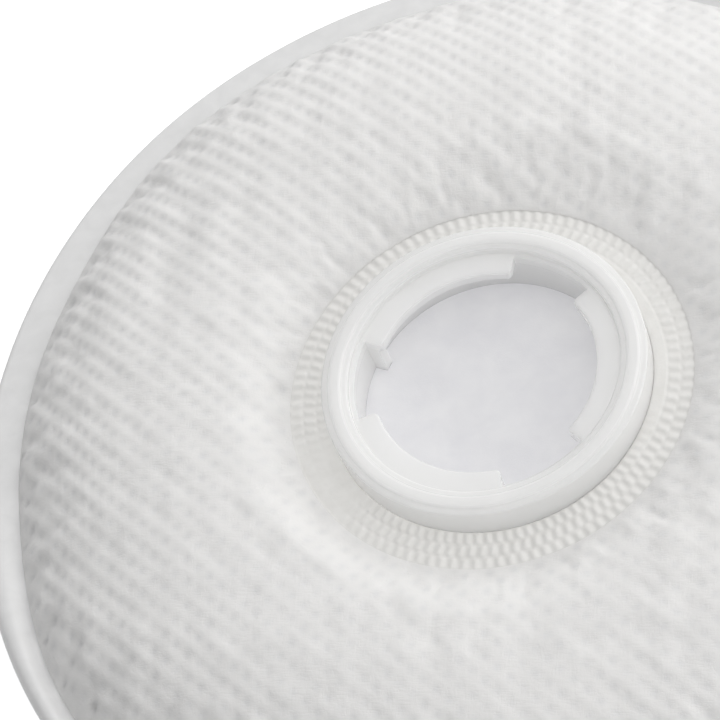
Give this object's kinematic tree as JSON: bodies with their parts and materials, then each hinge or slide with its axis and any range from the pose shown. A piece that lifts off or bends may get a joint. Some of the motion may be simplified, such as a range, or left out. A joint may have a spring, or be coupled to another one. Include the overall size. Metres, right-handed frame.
{
  "type": "respirator particulate filter",
  "caption": "Round white particulate filter for a dust mask: embossed pad with a fused edge and a translucent twist-lock socket with inward lugs.",
  "frame": {"origin": "middle of the flat zone of the front wall, on which the filter rests", "axes": "+Z along the socket's axis, towards the mask; one lug's middle lies 4.8 degrees from +X"},
  "size_m": [0.116, 0.116, 0.0182],
  "materials": {
    "embossed_cover": "embossed nonwoven",
    "electret_media": "needled felt",
    "liner": "smooth nonwoven",
    "lofty_core": "open fibre web",
    "scrim": "smooth nonwoven",
    "fused_edge": "satin, translucent",
    "fused_web": "embossed weld",
    "translucent_moulding": "satin, translucent"
  },
  "bodies": {
    "root": {"rear_cover_web": "embossed_cover", "front_cover_web": "embossed_cover", "rear_media_outer_ply": "electret_media", "rear_media_inner_ply": "electret_media", "front_media_outer_ply": "electret_media", "front_media_inner_ply": "electret_media", "rear_liner_web": "liner", "front_liner_web": "liner", "spacer_core": "lofty_core", "core_scrim": "scrim", "rim_weld_band": "fused_edge", "hub_weld_ring": "fused_web", "bayonet_socket": "translucent_moulding"}
  },
  "joints": []
}
